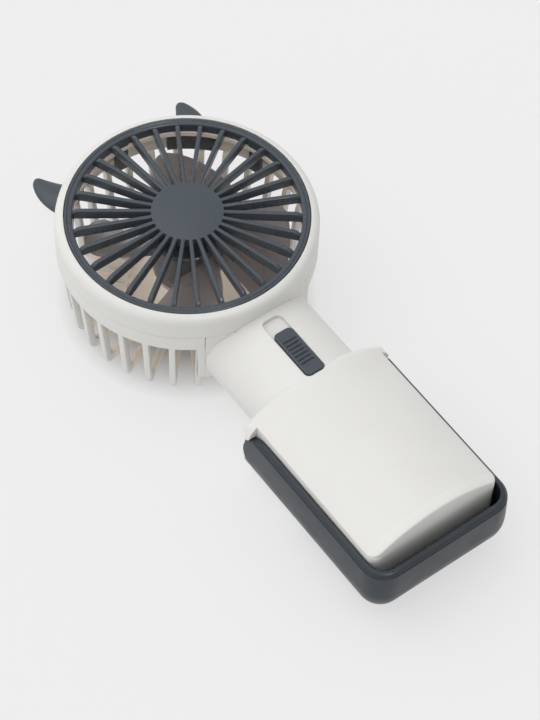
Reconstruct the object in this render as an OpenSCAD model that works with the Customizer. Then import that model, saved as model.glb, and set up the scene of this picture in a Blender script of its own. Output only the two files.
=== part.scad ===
// Handheld fan: a round caged head, an oval neck with a slide switch, a crowned battery handle and a
// fold-out stand that wraps the handle's back. It lies on its back. +Z is the way the air blows,
// +Y runs from the handle to the head, and the origin is under the middle of the whole. Millimetres.

/* [Head ring] */
// Outside diameter of the head
head_d = 82; // [78:1:90]
// Height of the front rim above the surface that the fan lies on
head_h = 41; // [39:0.5:45]
// Wall of the head's ring and of the rear band
head_wall = 2; // [1.6:0.1:2.2]
// Radius of the soft outer edge of the front rim
rim_round = 3; // [1.4:0.2:3.2]
// Width of the white rim around the front grille
rim_w = 2.75; // [2.6:0.05:3.2]
// Distance from the front rim down to the line where the front ring meets the rear grille
parting_drop = 9; // [8.5:0.5:10]
// Thickness of the ledge that carries the front grille
ledge_t = 1.6; // [1.2:0.1:1.8]
// Width of the ledge that carries the front grille
ledge_w = 3.25; // [2.8:0.05:3.6]
// Half angle of the wall piece that closes the head at the neck
tongue_a = 27.5; // [27.5:0.5:30]

/* [Rear grille] */
// Height of the plain band above the ribs
band_h = 6.2; // [6:0.2:9]
// Number of ribs round the cage
rib_count = 30; // [24:6:36]
// Thickness of each rib
rib_t = 2; // [1.6:0.1:2.4]
// Depth of a rib's upright, measured inwards
rib_depth = 2.6; // [2.4:0.2:5.4]
// Step from the band's outside to the ribs' outside
rib_inset = 0.7; // [0.3:0.1:1]
// How far the cage draws in towards the back
cage_taper = 2.6; // [1:0.2:4]
// Radius of the ribs' rounded back corner
foot_round = 3; // [1:0.5:4]
// Height of the ribs' radial bars at the back
bar_h = 3.4; // [2.6:0.2:4]
// Diameter of the round plate in the middle of the back
plate_d = 40; // [34:1:46]
// Thickness of the round plate
plate_t = 2.6; // [2:0.1:3]
// Half angle of the plain skirt beside the neck
skirt_a = 30.8; // [30.4:0.2:36]
// Height of the skirt's lower edge
skirt_z = 10.8; // [9:0.3:11.1]
// Width of the wire trough along the cage's back
trough_w = 7; // [6:0.2:8]

/* [Front grille] */
// Number of spokes
spoke_count = 30; // [24:6:36]
// Width of each spoke
spoke_w = 1.9; // [1.4:0.1:2.1]
// Width of the grille's outer ring
ring_w = 2.5; // [2.2:0.1:2.8]
// Height of the grille's outer ring
grille_h = 3.5; // [3:0.1:3.6]
// How far the grille's ring stands above the white rim
grille_proud = 0.1; // [0:0.05:0.4]
// Diameter of the flat disc in the middle
disc_d = 22.6; // [20:0.2:26]
// Rise of the disc above the grille's ring
disc_rise = 1.3; // [0.6:0.1:2]
// Depth of a spoke at the disc
spoke_h = 3.4; // [2.6:0.1:3.6]
// Number of snap legs
leg_count = 5; // [5:1:5]
// Width of a snap leg
leg_w = 4.6; // [3.6:0.2:5]
// Thickness of a snap leg
leg_t = 1.4; // [1.2:0.1:1.5]
// How far a leg's hook reaches outwards
hook_out = 1.3; // [1:0.1:1.4]

/* [Horns] */
// Direction of a horn's root, measured from the head's side
horn_a = 52.5; // [48.5:0.5:56]
// Direction of a horn's tip, measured from the head's side
horn_tip_a = 57.9; // [54:0.3:63]
// How far a horn stands out of the head
horn_l = 11; // [8:0.2:14]
// Width of a horn's root
horn_w = 11.9; // [10:0.1:13]
// Thickness of a horn's root
horn_t = 5; // [4:0.2:5.2]
// Radius of a horn's tip
horn_tip_r = 1.1; // [0.8:0.1:1.6]
// Width of a horn's inner plate
horn_plate_w = 16; // [15:0.5:17]
// Height of a horn's inner plate above the head's parting line
horn_plate_up = 3.3; // [3:0.1:3.5]

/* [Impeller] */
// Number of blades
blade_count = 4; // [3:1:5]
// Diameter of the impeller's hub
hub_d = 22; // [22:0.5:24]
// Height of the impeller's hub
hub_h = 16; // [15:0.5:16.4]
// Depth of the hub's nose below the head's rim
hub_drop = 10; // [9:0.5:10]
// Radius of the hub's soft front edge
hub_round = 1.5; // [0.6:0.1:1.8]
// Gap between the blades' tips and the front grille's opening
tip_gap = 3.4; // [2:0.2:4]
// Thickness of a blade
blade_t = 1.2; // [0.9:0.1:1.6]
// Angle that a blade spans at its tip
blade_span = 57; // [44:1:60]
// Fall of a blade from its high edge to its low edge at the tip
blade_fall = 21; // [17:0.5:21]
// Radius of a blade's tip corners
blade_corner = 4; // [2:0.5:6]

/* [Motor] */
// Diameter of the motor's shaft
shaft_d = 2; // [1.6:0.1:2.2]
// Running clearance between shaft and bearing, on the radius
shaft_clear = 0.03; // [0.02:0.01:0.06]
// Outside diameter of the bearing
bearing_d = 5; // [4.6:0.1:5.2]
// Outside diameter of the post that carries bearing and stator
post_d = 6.6; // [6.4:0.1:7]
// Outside diameter of the stator
stator_d = 15.2; // [14:0.2:15.4]
// Height of the stator's core
stator_h = 5; // [4:0.2:5.2]
// Gap between stator and magnet
air_gap = 0.4; // [0.35:0.05:0.6]
// Thickness of the magnet ring
magnet_t = 1.2; // [1:0.05:1.25]
// Thickness of the steel yoke
yoke_t = 0.5; // [0.4:0.05:0.55]
// Gap between the motor's pedestal and the lower edge of the hub
pedestal_gap = 2.6; // [2.4:0.2:3.4]
// Diameter of the motor's pedestal
pedestal_d = 21; // [20.4:0.2:22]

/* [Neck] */
// Half width of the neck
neck_a = 18.9; // [17:0.1:18.9]
// Half height of the neck
neck_b = 15.6; // [15:0.1:16]
// Radius of the neck's rounded sides
neck_r = 13; // [12:0.2:14]
// Height of the neck's and handle's highest line
top_z = 34.8; // [34.4:0.1:35.4]
// Height of the line where front and rear shells meet
split_z = 19; // [18:0.5:19.5]
// Wall of both shells
wall = 2; // [1.6:0.1:2.2]

/* [Slide switch] */
// Distance from the head's axis to the near end of the button's recess
slot_y = 43.2; // [43:0.2:44]
// Length of the button's recess
slot_l = 24; // [22:0.2:25]
// Width of the button's recess
slot_w = 7.2; // [6.4:0.2:8]
// Depth of the button's recess
slot_depth = 1.6; // [1.2:0.1:1.8]
// Length of the button
button_l = 18; // [17:0.2:18.2]
// Clearance round the button
button_clear = 0.3; // [0.3:0.05:0.4]
// How far the button stands above the neck
button_proud = 0.3; // [0.1:0.05:0.8]
// Radius of the button's corners
button_r = 1.6; // [1:0.1:2]
// Travel of the button
travel = 5.4; // [3.6:0.2:5.4]
// Number of grip ribs
grip_count = 6; // [4:1:7]
// Spacing of the grip ribs
grip_pitch = 1.5; // [1.2:0.1:1.6]

/* [Handle] */
// Distance from the head's axis to the shoulder
shoulder_y = 64.5; // [63:0.5:65]
// Half width of the shoulder
shoulder_hw = 26.6; // [26.2:0.1:27]
// Half width of the handle inside the stand
core_hw = 23.5; // [23.2:0.1:23.5]
// Distance from the head's axis to the handle's end
handle_y = 125.2; // [124:0.2:127]
// Radius of the handle's crowned front
crown_r = 42; // [40:1:60]
// Radius of the soft edges at shoulder and handle end
end_round = 3.2; // [1.6:0.2:3.6]
// Radius of the rounded edge under the handle's end
end_edge = 6; // [5.5:0.5:7]
// Radius of the handle's corners seen from the front
corner_r = 3; // [2:0.25:4]
// Height of the handle's back
back_z = 2.6; // [2.5:0.1:3]

/* [Stand] */
// Half width of the stand
stand_hw = 26.4; // [26.3:0.1:26.8]
// Height of the stand's walls
stand_h = 25; // [24.5:0.25:25]
// Wall of the stand
stand_wall = 2.1; // [1.8:0.1:2.1]
// Radius of the stand's soft back edge
stand_round = 13.5; // [12:0.25:14]
// Radius of the stand's end corners seen from the front
stand_corner = 8; // [7:0.25:9]
// Width of the finger gap at the handle's end
finger_gap = 4.7; // [4.6:0.1:7]
// How far the stand's walls bulge out below their top edge
stand_bulge = 0.5; // [0.2:0.05:0.5]
// Distance from the head's axis to the hinge
hinge_y = 74.9; // [74.9:0.1:76]
// Radius of the stand's ears round the hinge
knuckle_r = 8.5; // [8:0.1:8.8]
// Diameter of the hinge's trunnions
trunnion_d = 4; // [3.2:0.2:4]
// Running clearance of the trunnions, on the radius
trunnion_clear = 0.05; // [0.03:0.01:0.1]
// Distance from the hinge to the start of the stand's floor
floor_start = 17.5; // [16:0.5:20]
// Radius of the soft outer edge along the top of the stand's walls
lip_r = 1.6; // [0.8:0.1:1.7]
// Width of the fine step below that soft edge
lip_step = 0.25; // [0.2:0.05:0.3]
// Angle that the stand opens to, for the shoulder's recess
stand_open = 70; // [40:5:70]

/* [Inside] */
// Length of the battery cell
cell_l = 36; // [30:1:37]
// Width of the battery cell
cell_w = 32; // [26:1:32]
// Thickness of the battery cell
cell_t = 10.5; // [8:0.5:11]
// Thickness of the foam pad under the cell
pad_t = 0.8; // [0.5:0.1:1.2]
// Thickness of both circuit boards
board_t = 1.2; // [1:0.1:1.6]
// Diameter of the leads
lead_d = 1.2; // [1:0.1:1.4]
// Width of the USB socket
usb_w = 8.9; // [8.9:0.05:9.1]
// Height of the USB socket
usb_h = 3.2; // [3.1:0.05:3.3]
// Depth of the USB socket
usb_l = 7.4; // [6.8:0.1:7.6]
// Diameter of the screws' shanks
screw_d = 2.2; // [1.8:0.1:2.4]

/* [Hidden] */
$fn = 96;
far = 200;
over = 0.5;
full = 360;
half_turn = 180;
quarter = 90;
eighth = 45;
down = -90;
// head
head_r = head_d / 2;
in_r = head_r - head_wall;
seat_r = head_r - rim_w;
ledge_r = seat_r - ledge_w;
grille_clear = 0.25;
grille_r = seat_r - grille_clear;
ring_r = grille_r - ring_w;
seat_z = head_h + grille_proud - grille_h;
ledge_z = seat_z - ledge_t;
parting_z = head_h - parting_drop;
band_z = parting_z - band_h;
seam = 0.05;
seam_line = 0.35;
seam_a = 0.2;
trough_end = head_r - rib_inset - cage_taper - 1.5;
trough_h = bar_h + 1;
rib_fillet = 1.2;
// front grille
disc_z = head_h + grille_proud + disc_rise;
ring_z = head_h + grille_proud;
spoke_rim_drop = 0.5;
spoke_end_h = 2.4;
spoke_bend_r = ring_r - 2;
spoke_bend_z = disc_z - 0.5;
spoke_root = disc_d / 2 - 1;
spoke_turn_r = ring_r - 0.8;
spoke_turn_z = spoke_bend_z - 0.45;
spoke_end_r = ring_r + 0.3;
leg_r = ring_r + 0.1;
leg_step = full / leg_count;
leg_slot = 0.4;
hook_h = 1.4;
catch_h = 1.2;
catch_w = leg_w + 2;
catch_clear = 0.3;
hook_z = band_z + 0.2;
catch_z = hook_z + hook_h + catch_clear;
catch_r = leg_r + leg_t + 0.35;
ring_line_r = ring_r + 1.55;
ring_groove = 0.49;
ring_edge = 0.7;
// horns
stem_clear = 0.1;
stem_w = horn_w * 0.68;
stem_h = horn_t * 0.7;
plate_in = 0.1;
plate_rise = 0.8;
stem_out = 0.7;
plate_th = 1.6;
horn_sink = 0.5;
horn_half_a = asin(horn_w / 2 / head_r);
horn_rings = 12;
horn_sides = 20;
function polar(r, a) = [r * cos(a), r * sin(a)];
function bezier(p, q, s, u) = (1 - u) * (1 - u) * p + 2 * u * (1 - u) * q + u * u * s;
horn_tip = polar(head_r + horn_l, horn_tip_a);
horn_base_out = polar(head_r - horn_sink, horn_a - horn_half_a);
horn_base_in = polar(head_r - horn_sink, horn_a + horn_half_a);
horn_axis = horn_tip - polar(head_r, horn_a);
horn_side = [horn_axis.y, -horn_axis.x] / norm(horn_axis);
horn_end_out = horn_tip + horn_side * horn_tip_r;
horn_end_in = horn_tip - horn_side * horn_tip_r;
horn_bulge = polar(head_r + horn_l * 0.75, horn_a - 4.1);
horn_hollow = polar(head_r + horn_l * 0.34, horn_a + 6.6);
horn_cap = 0.9;
function horn_u(i) = 1 - pow(1 - i / horn_rings, 1.6);
function horn_shrink(u) = u < horn_cap ? 1 : sqrt(max(0, 1 - pow((u - horn_cap) / (1 - horn_cap), 2)));
function horn_out_p(u) = bezier(horn_base_out, horn_bulge, horn_end_out, u);
function horn_in_p(u) = bezier(horn_base_in, horn_hollow, horn_end_in, u);
function horn_half(u) = (horn_t / 2) * (1 - u) + horn_tip_r * u;
function horn_point(u, a) =
  let(o = horn_out_p(u), p = horn_in_p(u), m = (o + p) / 2, w = (o - p) / 2, k = horn_shrink(u))
  [m.x + w.x * k * cos(a), m.y + w.y * k * cos(a), parting_z + horn_half(u) * k * sin(a)];
horn_last = horn_rings - 1;
horn_end = horn_point(1, 0);
horn_points = concat(
  [for (i = [0 : horn_last]) for (j = [0 : horn_sides - 1]) horn_point(horn_u(i), j * full / horn_sides)],
  [horn_end]);
horn_top = max([for (p = horn_points) p.y]);
// impeller
hub_r = hub_d / 2;
hub_z = head_h - hub_drop;
hub_low = hub_z - hub_h;
hub_wall = 1.25;
hub_in = hub_r - hub_wall;
hub_top_t = 2;
tip_r = ring_r - tip_gap;
blade_root = hub_r - 0.7;
blade_rings = 10;
blade_steps = 10;
blade_lead_hub = 96;
blade_lead_tip = 73;
blade_span_hub = 62;
blade_root_z = hub_z - 0.9;
blade_rise = 7.9;
blade_droop = 4.6;
blade_fall_hub = 10.5;
blade_mix = 0.33;
corner_s = 1 - blade_corner / (tip_r - blade_root);
corner_t = blade_corner / (tip_r * blade_span * PI / half_turn);
function blade_s(i) = sin(quarter * i / blade_rings);
function blade_trim(s) = s <= corner_s ? 0
  : corner_t * (1 - sqrt(max(0, 1 - pow((s - corner_s) / (1 - corner_s), 2))));
function blade_u(s, t) = blade_trim(s) + t * (1 - 2 * blade_trim(s));
function blade_angle(s, u) = blade_lead_hub + (blade_lead_tip - blade_lead_hub) * s
  - u * (blade_span_hub + (blade_span - blade_span_hub) * s);
function blade_height(s, u) = blade_root_z + blade_rise * s - blade_droop * s * s
  - (blade_fall_hub + (blade_fall - blade_fall_hub) * s) * (blade_mix * u + (1 - blade_mix) * u * u);
function blade_point(s, t, drop) =
  let(u = blade_u(s, t), r = blade_root + (tip_r - blade_root) * s, a = blade_angle(s, u))
  [r * cos(a), r * sin(a), blade_height(s, u) - drop];
blade_row = blade_steps + 1;
blade_half = blade_row * (blade_rings + 1);
blade_points = [for (drop = [0, blade_t]) for (i = [0 : blade_rings]) for (j = [0 : blade_steps])
  blade_point(blade_s(i), j / blade_steps, drop)];
function blade_id(side, i, j) = side * blade_half + i * blade_row + j;
blade_faces = concat(
  [for (i = [0 : blade_rings - 1]) for (j = [0 : blade_steps - 1])
    [blade_id(0, i, j), blade_id(0, i, j + 1), blade_id(0, i + 1, j)]],
  [for (i = [0 : blade_rings - 1]) for (j = [0 : blade_steps - 1])
    [blade_id(0, i, j + 1), blade_id(0, i + 1, j + 1), blade_id(0, i + 1, j)]],
  [for (i = [0 : blade_rings - 1]) for (j = [0 : blade_steps - 1])
    [blade_id(1, i, j), blade_id(1, i + 1, j), blade_id(1, i, j + 1)]],
  [for (i = [0 : blade_rings - 1]) for (j = [0 : blade_steps - 1])
    [blade_id(1, i, j + 1), blade_id(1, i + 1, j), blade_id(1, i + 1, j + 1)]],
  [for (i = [0 : blade_rings - 1]) [blade_id(0, i, 0), blade_id(0, i + 1, 0), blade_id(1, i, 0)]],
  [for (i = [0 : blade_rings - 1]) [blade_id(0, i + 1, 0), blade_id(1, i + 1, 0), blade_id(1, i, 0)]],
  [for (i = [0 : blade_rings - 1])
    [blade_id(0, i + 1, blade_steps), blade_id(0, i, blade_steps), blade_id(1, i, blade_steps)]],
  [for (i = [0 : blade_rings - 1])
    [blade_id(1, i + 1, blade_steps), blade_id(0, i + 1, blade_steps), blade_id(1, i, blade_steps)]],
  [for (j = [0 : blade_steps - 1]) [blade_id(0, 0, j + 1), blade_id(0, 0, j), blade_id(1, 0, j)]],
  [for (j = [0 : blade_steps - 1]) [blade_id(1, 0, j + 1), blade_id(0, 0, j + 1), blade_id(1, 0, j)]],
  [for (j = [0 : blade_steps - 1])
    [blade_id(0, blade_rings, j), blade_id(0, blade_rings, j + 1), blade_id(1, blade_rings, j)]],
  [for (j = [0 : blade_steps - 1])
    [blade_id(0, blade_rings, j + 1), blade_id(1, blade_rings, j + 1), blade_id(1, blade_rings, j)]]);
// motor
shaft_r = shaft_d / 2;
bearing_r = bearing_d / 2;
post_r = post_d / 2;
stator_r = stator_d / 2;
magnet_in = stator_r + air_gap;
magnet_r = magnet_in + magnet_t;
yoke_r = magnet_r + yoke_t;
pedestal_r = pedestal_d / 2;
pedestal_z = hub_low - pedestal_gap;
pedestal_wall = 2;
pedestal_top = 2.4;
motor_board_t = 1;
motor_board_r = hub_in - 0.6;
stator_z = pedestal_z + motor_board_t + 3.6;
post_z = stator_z + stator_h + 0.6;
shaft_z = pedestal_z - 2.6;
shaft_top = hub_z - 0.8;
bearing_room_z = shaft_z - 1;
clip_z = shaft_z + 0.7;
clip_t = 0.6;
clip_r = bearing_r - 0.3;
bearing_z = clip_z + clip_t + 0.3;
magnet_z = stator_z - 1;
magnet_h = stator_h + 2;
yoke_z = hub_low + 0.6;
spindle_r = 3;
spindle_z = post_z + 0.6;
pole_count = 6;
pole_w = 1.8;
pole_tip = 1.2;
core_r = post_r + 1;
winding_h = 1;
winding_t = 0.5;
winding_gap = 0.1;
// neck and shells
neck_z = top_z - neck_b;
neck_big = (neck_a * neck_a - 2 * neck_a * neck_r + neck_b * neck_b) / (2 * (neck_b - neck_r));
shell_r = head_r + seam;
crown_z = top_z - crown_r;
flange_y = shoulder_y + 4.6;
neck_in = 4;
neck_room = 6;
core_edge = stand_round - (stand_hw - core_hw);
shoulder_corner = 4.5;
shoulder_edge = core_edge;
side_in = 2;
side_fall = 4.2;
side_r = 7.3;
side_step = 0.3;
side_x = shoulder_hw - side_in;
side_z = crown_z + sqrt(crown_r * crown_r - side_x * side_x);
side_l = norm([side_in, side_fall]);
side_h = sqrt(side_r * side_r - side_l * side_l / 4);
side_cx = side_x + side_in / 2 - side_h * side_fall / side_l;
side_cz = side_z - side_fall / 2 - side_h * side_in / side_l;
hinge_z = stand_h - knuckle_r;
ear_clear = 0.4;
open_spare = 2;
recess_r = knuckle_r + ear_clear;
hole_z = 12.6;
hole_r = 2.6;
// slide switch
slot_mid = slot_y + slot_l / 2;
slot_r = button_r + button_clear;
slot_floor = top_z - slot_depth;
slot_pad = 2;
slot_rim = 2;
pad_low = slot_floor - slot_pad;
button_end = (slot_l - button_l - travel) / 2;
button_y = slot_y + slot_l - button_end - button_l / 2;
button_w = slot_w - 2 * button_clear;
button_lift = 0.1;
button_top = top_z + button_proud;
button_edge = 0.4;
grip_w = 0.8;
grip_deep = 0.5;
grip_l = button_w - 1.4;
stem_x = 2.4;
stem_y = 3;
stem_gap = 0.3;
switch_w = 4.4;
switch_l = 14;
switch_h = 3.2;
switch_deep = 1;
knob_w = 1.4;
knob_l = 1.6;
knob_h = 2.2;
knob_fit = 0.05;
board_z = 24.4;
board_top = board_z + board_t;
board_hw = 12.6;
board_near = slot_y + 1.6;
board_far = 70;
switch_top = board_top + switch_h;
knob_mid = button_y;
switch_mid = button_y - travel / 2;
stem_low = switch_top + 0.5;
boss_r = 2.2;
board_boss = [[-9.4, 48.5], [9.4, 66.5]];
board_screw_r = 0.9;
board_hole_r = 1.1;
board_head_r = 1.7;
board_head_h = 1;
board_screw_l = 5;
board_screw_end = 0.4;
chip_size = [5, 4, 1.5];
chip_y = 55;
// handle insides
floor_z = back_z + wall;
cell_y = 75;
cell_z = floor_z + pad_t;
cell_edge = 2;
pad_inset = 3;
charge_near = 113.4;
charge_hw = 12;
charge_z = 6.2;
charge_room = 0.3;
end_in = end_edge - wall;
end_rise = end_in + floor_z - charge_z;
charge_far = handle_y - wall - end_in + sqrt(end_in * end_in - end_rise * end_rise) - charge_room;
charge_top = charge_z + board_t;
usb_y = handle_y - 0.9;
usb_z = charge_top + usb_h / 2;
usb_wall = 0.3;
usb_tongue = 0.7;
usb_tongue_w = 6.7;
usb_tongue_back = 1;
usb_clear = 0.2;
led_x = 8.6;
led_size = [1.6, 1, 0.8];
rail_w = 2;
screw_r = screw_d / 2;
screw_boss = screw_r + 1.7;
screw_hole = screw_r + 0.05;
screw_head_r = screw_r + 0.9;
screw_head_h = 1.4;
cross_w = 0.6;
cross_deep = 0.8;
screw_end = 1;
screw_head_z = back_z + 3.2;
screw_top = 26;
screw_spots = [[-16, 70.2], [16, 70.2], [-16, 118.6], [16, 118.6]];
trunnion_r = trunnion_d / 2;
trunnion_boss = trunnion_r + 2;
trunnion_reach = 3.2;
stand_in = stand_hw - stand_wall;
stand_y = handle_y + finger_gap + stand_wall;
ear_low = stand_h - 2 * knuckle_r;
bulge_r = (pow(stand_h - stand_round, 2) + stand_bulge * stand_bulge) / (2 * stand_bulge);
lip_in = bulge_r - sqrt(bulge_r * bulge_r - pow(stand_h - lip_r - stand_round, 2));
ear_gap = 0.3;
ear_in = core_hw + ear_gap;
head_y = (stand_y - horn_top) / 2;
lead_r = lead_d / 2;
lead_x = 1.1;
lead_end = 0.15;
lead_low = plate_t + lead_r + 0.2;
lead_up_r = in_r - 4.2;
side_lead = 17.6;
lead_start_r = hub_in - 1.6;
lead_start_z = pedestal_z + motor_board_t + 0.7;
lead_over_r = pedestal_r + 1.2;
lead_over_z = pedestal_z + 1.2;
lead_down_r = pedestal_r + 1.4;
lead_neck_gap = 5;
lead_neck_y = head_r + lead_neck_gap;
lead_board_x = 4;
lead_board_gap = 5.2;
lead_board_y = board_near + lead_board_gap;
lead_cell_x = 5;
lead_cell_y = charge_near + 2;
lead_out_x = charge_hw - 1;
lead_out_y = charge_near + 4;
lead_side_y = charge_near - 1;
lead_turn_y = cell_y - 1;
lead_turn_x = 11.5;
lead_turn_z = cell_z + cell_t + 1.1;
lead_in_x = 6;
lead_in_y = board_far - 2;
lead_sides = 10;
lead_ref = [1, 0.05, 0.1];

// Everything is drawn about the head's axis and then moved so that the origin is under the middle
module placed() {
  translate([0, head_y, 0]) children();
}

// Extrudes a drawing of side and height along the handle, between two distances from the head's axis
module along(y0, y1) {
  translate([0, -y0, 0]) rotate([quarter, 0, 0]) linear_extrude(y1 - y0) children();
}

// Extrudes a drawing of length and height across the handle
module across(x0, x1) {
  translate([x0, 0, 0]) rotate([quarter, 0, quarter]) linear_extrude(x1 - x0) children();
}

// A flat drawing of a box with round corners
module soft_box(w, h, r) {
  square([w - 2 * r, h], center = true);
  square([w, h - 2 * r], center = true);
  for (x = [r - w / 2, w / 2 - r]) {
    for (y = [r - h / 2, h / 2 - r]) {
      translate([x, y]) circle(r = r);
    }
  }
}

// A wedge seen from the front, between two directions
module wedge(a0, a1, r) {
  polygon(concat([[0, 0]], [for (k = [0 : 4]) polar(r, a0 + (a1 - a0) * k / 4)]));
}

// A plain tube round the head's axis
module tube(r1, r0, z0, z1) {
  difference() {
    translate([0, 0, z0]) cylinder(r = r1, h = z1 - z0);
    translate([0, 0, z0 - over]) cylinder(r = r0, h = z1 - z0 + 2 * over);
  }
}

// Keeps what lies above or below the shells' meeting line
module upper() {
  intersection() {
    children();
    translate([-far / 2, -far, split_z]) cube([far, 2 * far, far]);
  }
}

module lower() {
  intersection() {
    children();
    translate([-far / 2, -far, split_z - far]) cube([far, 2 * far, far]);
  }
}

// The neck's oval section, of four arcs
module oval(inset) {
  a = neck_a - inset;
  r = neck_r - inset;
  big = neck_big - inset;
  rise = neck_big - neck_b;
  touch = (a - r) / (big - r) * big;
  translate([a - r, neck_z]) circle(r = r);
  translate([r - a, neck_z]) circle(r = r);
  intersection() {
    translate([0, neck_z - rise]) circle(r = big);
    translate([0, neck_z + rise]) circle(r = big);
    translate([-touch, neck_z - big]) square([2 * touch, 2 * big]);
  }
}

// The crowned bar that handle and shoulder are cut from, with soft ends
module crown(inset) {
  r = crown_r - inset;
  l = handle_y - shoulder_y - 2 * inset;
  e = end_round - inset / 2;
  translate([0, -handle_y + inset, crown_z]) rotate([down, 0, 0]) rotate_extrude() {
    translate([0, e]) square([r, l - 2 * e]);
    square([r - e, l]);
    for (y = [e, l - e]) {
      translate([r - e, y]) circle(r = e);
    }
  }
}

// A bar with the handle's plan and rounded back edges
module bar(hw, y0, y1, corner, low, edge) {
  intersection() {
    translate([0, -(y0 + y1) / 2, 0]) linear_extrude(far / 2) soft_box(2 * hw, y1 - y0, corner);
    along(y0 - over, y1 + over) translate([0, low + far / 4]) soft_box(2 * hw, far / 2, edge);
  }
}

// All that lies inside the rounded edge under the handle's end
module end_soft(y, low, edge) {
  across(-far / 4, far / 4) translate([far / 2 - y, low + far / 2]) soft_box(far, far, edge);
}

// Outside of the handle, before it is split and hollowed
module handle_outside() {
  intersection() {
    crown(0);
    bar(core_hw, shoulder_y, handle_y, corner_r, back_z, core_edge);
    end_soft(handle_y, back_z, end_edge);
  }
}

// Room for one of the stand's ears to turn in, and for its arm when the stand is open
module ear_round(x0, x1) {
  translate([x0, -hinge_y, hinge_z]) rotate([0, quarter, 0]) cylinder(r = recess_r, h = x1 - x0);
}

module ear_path(x0, x1) {
  translate([x0, -hinge_y, hinge_z]) rotate([stand_open + open_spare, 0, 0])
    translate([0, -far / 2, -recess_r]) cube([x1 - x0, far / 2, 2 * recess_r]);
}

// Section that softens the shoulder's side edges
module shoulder_side() {
  along(shoulder_y - over, flange_y + over) {
    translate([side_step - side_x, 0]) square([2 * side_x - 2 * side_step, far]);
    translate([-shoulder_hw - over, 0]) square([2 * shoulder_hw + 2 * over, side_z - side_fall - side_step]);
    for (x = [-side_cx, side_cx]) {
      translate([x, side_cz]) circle(r = side_r);
    }
  }
}

// The wider shoulder, with the recesses that the stand's ears turn in
module shoulder() {
  difference() {
    intersection() {
      crown(0);
      bar(shoulder_hw, shoulder_y, shoulder_y + far / 4, shoulder_corner, back_z, shoulder_edge);
      translate([-far / 2, -flange_y, 0]) cube([far, flange_y, far]);
      shoulder_side();
    }
    ear_round(-far / 4, over - core_hw);
    ear_round(core_hw - over, far / 4);
    ear_path(-far / 4, over - core_hw);
    ear_path(core_hw - over, far / 4);
  }
}

// The neck's outside, trimmed by a round hole of the head's size
module neck_outside(r) {
  difference() {
    along(head_r / 2, shoulder_y + neck_in) oval(0);
    translate([0, 0, -over]) cylinder(r = r, h = far);
  }
}

// The room inside neck and handle
module hollow(r) {
  difference() {
    along(head_r / 2, shoulder_y + neck_room) oval(wall);
    translate([0, 0, -over]) cylinder(r = r, h = far);
  }
  intersection() {
    crown(wall);
    bar(core_hw - wall, shoulder_y + wall, handle_y - wall, corner_r / 2, floor_z, core_edge - wall);
    end_soft(handle_y - wall, floor_z, end_in);
  }
}

// Section of the head's front ring
module ring_section() {
  difference() {
    union() {
      translate([ledge_r, ledge_z]) square([head_r - rim_round - ledge_r, head_h - ledge_z]);
      translate([ledge_r, ledge_z]) square([head_r - ledge_r, head_h - rim_round - ledge_z]);
      translate([in_r, parting_z]) square([head_wall, ledge_z - parting_z + over]);
      intersection() {
        translate([head_r - rim_round, head_h - rim_round]) circle(r = rim_round);
        translate([head_r - rim_round, head_h - rim_round]) square(rim_round);
      }
    }
    translate([0, seat_z]) square([seat_r, far]);
  }
}

// Room for the stems of the horns, in the ring above and the band below
module horn_rooms() {
  for (side = [0, 1]) {
    mirror([side, 0, 0]) rotate(horn_a) {
      translate([head_r / 2, -stem_w / 2 - stem_clear, parting_z - stem_h / 2 - stem_clear])
        cube([head_r, stem_w + 2 * stem_clear, stem_h + 2 * stem_clear]);
    }
  }
}

// The fine line round the head where ring and band meet
module seam_groove() {
  rotate_extrude() translate([head_r, parting_z]) rotate(eighth) square(seam_line, center = true);
}

// Places its children at each snap leg
module at_legs() {
  for (k = [0 : leg_count - 1]) {
    rotate(quarter + k * leg_step) children();
  }
}

module front_shell() {
  placed() color([0.88, 0.88, 0.86]) difference() {
    union() {
      rotate_extrude() ring_section();
      intersection() {
        tube(head_r, in_r, split_z, parting_z + over);
        translate([0, 0, split_z]) linear_extrude(far) wedge(down - tongue_a, down + tongue_a, far);
      }
      upper() difference() {
        union() {
          neck_outside(shell_r);
          intersection() {
            neck_outside(in_r);
            linear_extrude(far) wedge(down - tongue_a, down + tongue_a, far);
          }
          handle_outside();
          shoulder();
        }
        hollow(head_r);
      }
      intersection() {
        translate([0, -slot_mid, pad_low]) linear_extrude(far) soft_box(slot_w + 2 * slot_rim, slot_l + 2 * slot_rim, slot_r + slot_rim / 2);
        union() {
          neck_outside(in_r);
          handle_outside();
        }
      }
      upper() intersection() {
        for (p = screw_spots) {
          translate([p.x, -p.y, 0]) cylinder(r = screw_boss, h = far);
        }
        handle_outside();
      }
      intersection() {
        for (p = board_boss) {
          translate([p.x, -p.y, board_top]) cylinder(r = boss_r, h = far);
        }
        union() {
          neck_outside(in_r);
          handle_outside();
        }
      }
    }
    translate([0, -slot_mid, slot_floor]) linear_extrude(far) soft_box(slot_w, slot_l, slot_r);
    translate([-stem_x / 2 - stem_gap, -button_y - stem_y / 2 - stem_gap, pad_low - over])
      cube([stem_x + 2 * stem_gap, stem_y + travel + 2 * stem_gap, far]);
    for (p = screw_spots) {
      translate([p.x, -p.y, 0]) cylinder(r = screw_r, h = screw_top);
    }
    for (p = board_boss) {
      translate([p.x, -p.y, 0]) cylinder(r = board_screw_r, h = board_z + board_screw_l);
    }
    seam_groove();
    horn_rooms();
    at_legs() translate([leg_r - leg_slot, -leg_w / 2 - leg_slot, ledge_z - over])
      cube([leg_t + hook_out + 2 * leg_slot, leg_w + 2 * leg_slot, ledge_t + over]);
  }
}

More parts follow.
